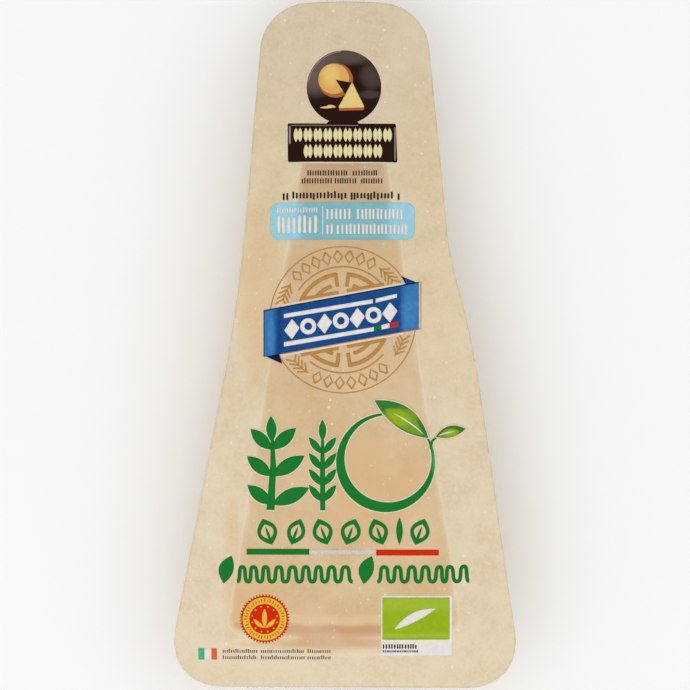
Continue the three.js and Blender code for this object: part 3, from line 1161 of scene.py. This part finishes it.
class PARMESAN_OT_ribbon(bpy.types.Operator):
    """Prints the blue ribbon across the roundel, with its folds, stripes and shapes."""

    bl_idname = "parmesan.ribbon"
    bl_label = "Ribbon"

    # The light on its two ends: [x, y, reach across, reach along, strength].
    LUSTRE = ((19.0, 9.5, 3.5, 7.0, 0.35), (-21.2, 2.5, 1.6, 7.0, 0.35))

    def execute(self, context):
        colours = context.scene.parmesan_colours
        navy = ink("navy_ink", colours.navy)
        gold = ink("gold_ink", colours.gold_ink)
        gap = Sketch()
        for up in (-RIBBON_HALF - 0.55, RIBBON_HALF + 0.55):
            gap.stroke([ribbon_point(x, up) for x in (-18.4, 17.2)], [0.75] * 2)
        gap.lay("ribbon_gap", 1.75, halo_ink(colours), "ink_white")
        inside = Sketch()
        inside.polygon([(17.3, 19.05, 0), (20.2, 17.85, 0), (18.1, 17.4, 0)])
        inside.lay("ribbon_inside", 2.75, ink("inside_ink", colours.deep_blue), "ink_blue")
        folds = Sketch()
        folds.polygon([(16.5, 19.6, 0), (21.2, 17.7, 0), (17.8, 17.0, 0)])
        folds.polygon([(-23.0, -3.5, 0), (-18.9, -2.9, 0), (-18.0, -5.7, 0)])
        folds.lay("ribbon_folds", 2.5, navy, "ink_blue")
        line = Sketch()
        right = RIBBON_RIGHT + 0.62
        lower, upper = -RIBBON_HALF - 0.15, RIBBON_HALF + 0.15
        corners = [(-22.6, lower), (right, lower), (right, upper), (RIBBON_RIGHT - 0.3, upper)]
        line.stroke([ribbon_point(*corner) for corner in corners], [0.26] * 4)
        line.lay("ribbon_keyline", 2, gold, "ink_gold")
        left, upper = RIBBON_LEFT - 0.25, RIBBON_HALF + 0.28
        self.band("ribbon_edge", 3, (left, RIBBON_RIGHT), (-RIBBON_HALF, upper), navy, "ink_blue")
        blue = ink("ribbon_ink", colours.deep_blue, self.sheen)
        ends = (RIBBON_LEFT, RIBBON_RIGHT)
        self.band("ribbon", 4, ends, (-RIBBON_HALF, RIBBON_HALF), blue, "ink_blue")
        self.stripes(colours)
        return {"FINISHED"}

    def band(self, name, layer, ends, heights, material, slot):
        """A slanting bar between two ends, with its lower and upper edge some way off the middle line."""
        sketch = Sketch()
        self.slant(sketch, ends, heights, heights)
        sketch.lay(name, layer, material, slot)

    def slant(self, sketch, ends, start, end):
        """Draws a bar along the ribbon, with its own lower and upper height at each end."""
        left, right = ends
        corners = [(left, start[0]), (right, end[0]), (right, end[1]), (left, start[1])]
        sketch.polygon([(*ribbon_point(*corner), 0) for corner in corners])

    def sheen(self, net, colours):
        """Bright blue ends that turn dark where the ribbon bends."""
        x = net.axis("X") + net.noise(5.0) * 0.6
        ends = (1 - net.step(x, -20.6, -18.2)) + net.step(x, 15.8, 18.0)
        dark = net.step(x, -21.2, -18.6) * (1 - net.step(x, -18.6, -17.4))
        blue = net.mix(ends, colours.deep_blue, colours.bright_blue)
        streaks = net.step(net.noise(1.4, 3, 0.6), 0.46, 0.68) * (ends * 0.22 + 0.06)
        blue = net.mix(glows(net, self.LUSTRE) + streaks, blue, colours.light_blue)
        return net.mix(dark * 0.35, blue, colours.navy)

    def stripes(self, colours):
        """White stripes and shapes, with a green and a red field beside one white stripe."""
        white = Sketch()
        for ends, start, end in (
            ((-17.5, 8.2), (3.5, 4.7), (3.1, 4.3)),
            ((9.0, 15.2), (3.1, 4.3), (3.5, 4.6)),
            ((-17.5, 8.5), (-4.75, -3.45), (-5.0, -3.8)),
            ((10.7, 13.0), (-4.95, -3.6), (-4.9, -3.5)),
        ):
            self.slant(white, ends, start, end)
        for i in range(7):
            place = ribbon_point(-15.2 + i * 4.72, -0.1 - 0.05 * i)
            if i % 2 == 0:
                white.diamond(*place, 4.5, 5.9, RIBBON_SLOPE)
            else:
                white.ring(*place, 2.35, 1.1, segments=48)
        white.lay("ribbon_stripes", 5, ink("white_ink", colours.white_ink), "ink_white")
        for name, ends, material, slot in (
            ("ribbon_green", (8.5, 10.7), ink("green_ink", colours.green_ink), "ink_green"),
            ("ribbon_red", (13.0, 15.5), ink("red_ink", colours.red_ink), "ink_red"),
        ):
            field = Sketch()
            self.slant(field, ends, (-4.95, -3.6), (-4.9, -3.45))
            field.lay(name, 5, material, slot)


class PARMESAN_OT_title(bpy.types.Operator):
    """Prints the large green plants: a sprig, a blade and a ring with two leaves."""

    bl_idname = "parmesan.title"
    bl_label = "Green plants"

    OUTLINE = 0.4  # how far the light line reaches beyond each plant

    # Light on the edges and on the middles of the leaves: [x, y, reach across, reach along].
    EDGE_LIGHT = ((16.0, -21.2, 7.0, 3.4), (30.8, -26.0, 3.0, 1.6))
    MIDDLE_LIGHT = ((14.6, -21.6, 6.0, 3.6), (31.0, -25.8, 3.0, 1.6))

    def execute(self, context):
        colours = context.scene.parmesan_colours
        halo = halo_ink(colours)
        green = ink("title_ink", colours.green_ink, self.depth)
        for i, part in enumerate((self.sprig, self.blade, self.wreath)):
            under = Sketch()
            part(under, self.OUTLINE)
            under.lay(f"title_halo_{i + 1}", 1, halo, "ink_white")
            over = Sketch()
            part(over, 0)
            over.lay(f"title_{i + 1}", 2, green, "ink_green")
        self.leaves(colours)
        return {"FINISHED"}

    def depth(self, net, colours):
        """The wreath is paler on its right."""
        light = glow(net, 27.5, -33.5, 3.0, 7.5, 0.8)
        return net.mix(light, colours.green_ink, colours.mint_ink)

    def sprig(self, sketch, grow):
        """A branch with leaves on both sides."""
        stem = [(-21.4, -48.0 - grow), (-20.6, -35.0), (-20.9, -27.0)]
        sketch.stroke(stem, [2.4 + grow, 1.7 + grow, 0.9])
        for y, length, width, angle in (
            (-46.4, 11.8, 4.3, 24),
            (-46.4, 9.0, 3.8, 142),
            (-38.2, 11.2, 4.2, 32),
            (-38.2, 9.2, 3.8, 142),
            (-30.6, 9.4, 3.8, 42),
            (-30.6, 8.6, 3.6, 136),
            (-28.4, 7.6, 3.0, 92),
        ):
            sketch.lift += LIFT
            sketch.leaf(-21.0, y, length, width, angle, grow)

    def blade(self, sketch, grow):
        """An ear of grain."""
        stem = [(-6.3, -48.1 - grow), (-6.35, -36.0), (-6.35, -26.0)]
        sketch.stroke(stem, [1.5 + grow, 1.5 + grow, 0.7 + grow])
        for y in (-45.6, -41.0, -36.4, -31.8):
            for x, angle in ((-6.2, 52), (-6.5, 128)):
                sketch.lift += LIFT
                sketch.leaf(x, y, 6.2, 2.1, angle, grow)
        sketch.lift += LIFT
        sketch.leaf(-6.35, -28.2, 6.4, 2.2, 90, grow)

    def wreath(self, sketch, grow):
        """A ring that is thickest at its lower left, with a short stem for its two leaves."""
        sketch.ring(11.9, -34.3, 14.3 + grow, 12.6 - grow, (0.7, 1.1))
        sketch.lift += LIFT
        stem = [(25.6, -31.6), (25.0, -29.6), (25.4, -28.0), (27.4, -26.4)]
        sketch.stroke(stem, [0.8 + grow, 0.9 + grow, 0.7 + grow, 0.5 + grow])

    def leaves(self, colours):
        """The two leaves on the wreath, each with a light line, an edge, a middle and a vein."""
        halo, dark, light, vein = Sketch(), Sketch(), Sketch(), Sketch()
        for x, y, length, width, angle, bend in (
            (24.3, -27.2, 19.0, 6.4, 145, -0.6),
            (26.4, -26.8, 9.0, 3.3, 14, 0.3),
        ):
            halo.leaf(x, y, length, width, angle, 0.45, bend)
            dark.leaf(x, y, length, width, angle, 0, bend)
            tip = math.radians(angle)
            inner_x = x + 0.10 * length * math.cos(tip)
            inner_y = y + 0.10 * length * math.sin(tip) - 0.06 * width
            light.leaf(inner_x, inner_y, length * 0.72, width * 0.74, angle, 0, bend * 0.9)
            inner_x = x + 0.06 * length * math.cos(tip)
            inner_y = y + 0.06 * length * math.sin(tip)
            vein.leaf(inner_x, inner_y, length * 0.6, 0.4, angle, 0, bend * 0.8)
        halo.lay("leaf_halo", 3, halo_ink(colours), "ink_white")
        dark.lay("leaf_edge", 4, ink("leaf_edge_ink", colours.leaf_edge, self.fresh), "ink_green")
        light.lay("leaf_middle", 5, ink("leaf_ink", colours.leaf_ink, self.sunlit), "ink_green")
        vein.lay("leaf_vein", 6, ink("vein_ink", colours.banner_row), "ink_white")

    def fresh(self, net, colours):
        light = glows(net, self.EDGE_LIGHT) * 0.8
        return net.mix(light, colours.leaf_edge, colours.leaf_ink)

    def sunlit(self, net, colours):
        shade = net.mix(0.55, colours.leaf_edge, colours.leaf_ink)
        return net.mix(glows(net, self.MIDDLE_LIGHT), shade, colours.leaf_ink)


class PARMESAN_OT_subtitle(bpy.types.Operator):
    """Prints the row of outlined leaves, the three-colour bar and the long line of strokes."""

    bl_idname = "parmesan.subtitle"
    bl_label = "Leaf row and bar"

    def execute(self, context):
        colours = context.scene.parmesan_colours
        green = ink("subtitle_ink", colours.green_ink)
        sheer = ink("bar_white_ink", colours.banner_row, alpha=0.62)
        row = Sketch()
        for x, width, lean in (
            (-22.3, 5.8, 20),
            (-14.0, 5.2, -20),
            (-6.3, 5.8, 20),
            (1.8, 5.8, -20),
            (9.8, 5.6, 20),
            (21.8, 5.6, -20),
        ):
            foot = x + 3.9 * math.sin(math.radians(lean))
            row.leaf(foot, -58.0, 7.9, width, 90 + lean, outline=1.05)
            row.lift = LIFT
            row.leaf(foot, -58.0, 5.6, 0.8, 90 + lean)
            row.lift = 0
        row.leaf(15.9, -58.0, 7.9, 1.9, 90)
        row.lay("leaf_row", 1, green, "ink_green")
        bars = (
            ("bar_green", -28.3, -60.9, -10.15, -59.2, green, "ink_green"),
            ("bar_white", -10.15, -61.0, 9.15, -59.4, sheer, "ink_white"),
            ("bar_red", 9.15, -61.15, 27.3, -59.45, ink("red_ink", colours.red_ink), "ink_red"),
        )
        for name, left, bottom, right, top, material, slot in bars:
            bar = Sketch()
            bar.bar(left, bottom, right, top, 0.1, 2)
            bar.lay(name, 1, material, slot)
        line = Sketch()
        for left, right, seed in ((-35.6, 2.4, 51), (5.0, 36.2, 53)):
            line.leaf(left + 0.6, -69.4, 8.4, 4.3, 74, bend=0.5)
            line.wave(left + 4.5, right, -69.3, -63.9, 1.1, 3.8, seed)
        line.lay("long_line", 1, green, "ink_green")
        return {"FINISHED"}


class PARMESAN_OT_seal(bpy.types.Operator):
    """Prints the round seal: a red toothed edge, a yellow ring and a red middle with a sprig."""

    bl_idname = "parmesan.seal"
    bl_label = "Seal"

    CENTRE = (-23.1, -79.55)

    def execute(self, context):
        colours = context.scene.parmesan_colours
        red = ink("red_ink", colours.red_ink)
        yellow = ink("yellow_ink", colours.yellow_ink)
        x, y = self.CENTRE
        edge = Sketch()
        teeth = edge.disc(x, y, 7.3, 96)
        for vertex in teeth[::2]:
            vertex.co = Vector((x, y, 0)).lerp(vertex.co, 0.9)
        edge.lay("seal_edge", 1, red, "ink_red")
        ring = Sketch()
        ring.disc(x, y, 6.35)
        ring.lay("seal_ring", 2, yellow, "ink_gold")
        middle = Sketch()
        middle.disc(x, y, 4.4)
        for i in range(40):
            outer = 5.85 if i % 3 else 5.5
            angle = math.radians(i * 9)
            points = [(x + r * math.cos(angle), y + r * math.sin(angle)) for r in (4.95, outer)]
            middle.stroke(points, [0.26] * 2)
        middle.lay("seal_middle", 3, red, "ink_red")
        sprig = Sketch()
        leaves = ((90, 5.6, 1.5, 0), (40, 4.2, 1.2, -0.3), (140, 4.2, 1.2, 0.3))
        for angle, length, width, bend in leaves:
            sprig.leaf(x, y - 2.5, length, width, angle, bend=bend)
            sprig.lift += LIFT
        for degrees in range(0, 360, 30):
            angle = math.radians(degrees + 15)
            sprig.disc(x + 3.7 * math.cos(angle), y + 3.7 * math.sin(angle), 0.26, 12)
        sprig.lay("seal_sprig", 4, yellow, "ink_gold")
        return {"FINISHED"}


class PARMESAN_OT_panel(bpy.types.Operator):
    """Prints the green panel in its pale frame, with a leaf on it and two dark bars below."""

    bl_idname = "parmesan.panel"
    bl_label = "Green panel"

    def execute(self, context):
        colours = context.scene.parmesan_colours
        back = Sketch()
        back.bar(10.55, -90.5, 31.2, -72.8, 0.15, 2)
        back.lay("panel_frame", 1, ink("white_ink", colours.white_ink), "ink_white")
        green = Sketch()
        green.bar(10.95, -85.6, 30.4, -73.3, 0.1, 2)
        green.lay("panel_green", 2, ink("lime_ink", colours.lime_ink, self.bands), "ink_green")
        leaf = Sketch()
        leaf.leaf(14.4, -82.6, 13.4, 2.6, 27, bend=0.6)
        leaf.lay("panel_leaf", 3, ink("panel_leaf_ink", colours.white_ink), "ink_white")
        marks = Sketch()
        marks.row(((11.1, 21.4, 61),), -88.3, -86.9, 0.42, 0.78)
        marks.row(((11.1, 21.8, 62),), -89.4, -88.75, 0.3, 0.5)
        marks.lay("panel_marks", 2, ink("text_ink", colours.text_ink), "ink_dark")
        return {"FINISHED"}

    def bands(self, net, colours):
        """Soft light bands across the panel."""
        y = net.axis("Y") + net.noise(7.0) * 0.8
        upper = net.step(y, -77.6, -75.6)
        lower = net.step(y, -84.8, -83.9) * (1 - net.step(y, -83.9, -83.0))
        return net.mix(upper * 0.35 + lower * 0.5, colours.lime_ink, colours.pale_lime)


class PARMESAN_OT_notes(bpy.types.Operator):
    """Prints the small three-colour flag and the two rows of fine marks beside it."""

    bl_idname = "parmesan.notes"
    bl_label = "Flag and notes"

    def execute(self, context):
        colours = context.scene.parmesan_colours
        stripes = (
            ("flag_green", -42.4, -40.65, ink("mint_ink", colours.mint_ink), "ink_green"),
            ("flag_white", -40.65, -38.6, ink("flag_white_ink", colours.white_ink), "ink_white"),
            ("flag_red", -38.6, -37.0, ink("coral_ink", colours.coral_ink), "ink_red"),
        )
        for name, left, right, material, slot in stripes:
            stripe = Sketch()
            stripe.bar(left, -91.6, right, -88.25)
            stripe.lay(name, 1, material, slot)
        rows = Sketch()
        for bottom, seed in ((-89.6, 71), (-91.5, 72)):
            words = ((-35.3, -25.0, seed), (-24.2, -11.5, seed + 10), (-10.7, -3.8, seed + 20))
            rows.row(words, bottom, bottom + 0.95, 0.27, 0.62, rise=0.3)
        rows.lay("note_rows", 1, ink("note_ink", colours.note_ink), "ink_dark")
        return {"FINISHED"}


# ---------------------------------------------------------------------------------------------------------
# The stage


class PARMESAN_OT_stage(bpy.types.Operator):
    """Makes the floor, the lights and the camera, which looks straight down on the lid."""

    bl_idname = "parmesan.stage"
    bl_label = "Stage"

    SOFTBOXES = (
        ("key", (-0.30, -0.45, 0.90), 1.0, 2.2),
        ("fill", (0.45, 0.10, 1.00), 1.2, 1.2),
    )
    SKY = 0.78  # the strength of the even light from all round
    AIM = (0.15, -0.29)  # the point under the camera, in mm
    MARGIN = 1.0015  # the height of the view over the length of the pack
    RIM_SHARE = 0.88  # how high the rim lies in the height of the pack

    def execute(self, context):
        self.floor()
        self.lights(context)
        self.camera(context)
        return {"FINISHED"}

    def floor(self):
        bm = bmesh.new()
        bmesh.ops.create_grid(bm, x_segments=1, y_segments=1, size=4.0)
        mesh = bpy.data.meshes.new("floor")
        bm.to_mesh(mesh)
        bm.free()
        net = Net("floor")
        white = net.principled(Base_Color=(0.97, 0.97, 0.965), Roughness=0.9)
        mesh.materials.append(net.surface(white))
        floor = bpy.data.objects.new("floor", mesh)
        bpy.context.scene.collection.objects.link(floor)

    def lights(self, context):
        world = bpy.data.worlds.new("studio")
        world.use_nodes = True
        back = world.node_tree.nodes["Background"]
        back.inputs["Color"].default_value = (1, 1, 1, 1)
        back.inputs["Strength"].default_value = self.SKY
        context.scene.world = world
        for values in self.SOFTBOXES:
            self.softbox(*values)

    def softbox(self, name, place, size, power):
        light = bpy.data.lights.new(name, "AREA")
        light.size = size
        light.energy = power
        lamp = bpy.data.objects.new(name, light)
        lamp.location = place
        lamp.rotation_euler = (-Vector(place)).to_track_quat("-Z", "Y").to_euler()
        bpy.context.scene.collection.objects.link(lamp)

    def camera(self, context):
        data = bpy.data.cameras.new("camera")
        data.lens = 150
        camera = bpy.data.objects.new("camera", data)
        view_height = (CAD_HIGH.y - CAD_LOW.y) * self.MARGIN
        rim_z = CAD_HIGH.z * self.RIM_SHARE
        distance = view_height * data.lens / data.sensor_width
        camera.location = (self.AIM[0] * MM, self.AIM[1] * MM, rim_z + distance)
        context.scene.collection.objects.link(camera)
        context.scene.camera = camera
        context.scene.view_settings.view_transform = "Standard"


class PARMESAN_PT_panel(bpy.types.Panel):
    """The parts of the pack, one button each."""

    bl_label = "Parmesan pack"
    bl_idname = "PARMESAN_PT_panel"
    bl_space_type = "VIEW_3D"
    bl_region_type = "UI"
    bl_category = "Parmesan"

    def draw(self, context):
        for group in (context.scene.parmesan_sizes, context.scene.parmesan_colours):
            column = self.layout.column(align=True)
            for name in group.__annotations__:
                column.prop(group, name)
        for operator in BUILD_ORDER:
            self.layout.operator(operator.bl_idname)


BUILD_ORDER = (
    PARMESAN_OT_cheese,
    PARMESAN_OT_pocket,
    PARMESAN_OT_lid,
    PARMESAN_OT_badge,
    PARMESAN_OT_lines,
    PARMESAN_OT_banner,
    PARMESAN_OT_roundel,
    PARMESAN_OT_ribbon,
    PARMESAN_OT_title,
    PARMESAN_OT_subtitle,
    PARMESAN_OT_seal,
    PARMESAN_OT_panel,
    PARMESAN_OT_notes,
    PARMESAN_OT_stage,
)
CLASSES = (PackSizes, PackColours, *BUILD_ORDER, PARMESAN_PT_panel)


def register():
    for cls in CLASSES:
        bpy.utils.register_class(cls)
    bpy.types.Scene.parmesan_sizes = bpy.props.PointerProperty(type=PackSizes)
    bpy.types.Scene.parmesan_colours = bpy.props.PointerProperty(type=PackColours)


def unregister():
    del bpy.types.Scene.parmesan_colours
    del bpy.types.Scene.parmesan_sizes
    for cls in reversed(CLASSES):
        bpy.utils.unregister_class(cls)


def main():
    register()
    for operator in BUILD_ORDER:
        group, name = operator.bl_idname.split(".")
        getattr(getattr(bpy.ops, group), name)()


if __name__ == "__main__":
    main()
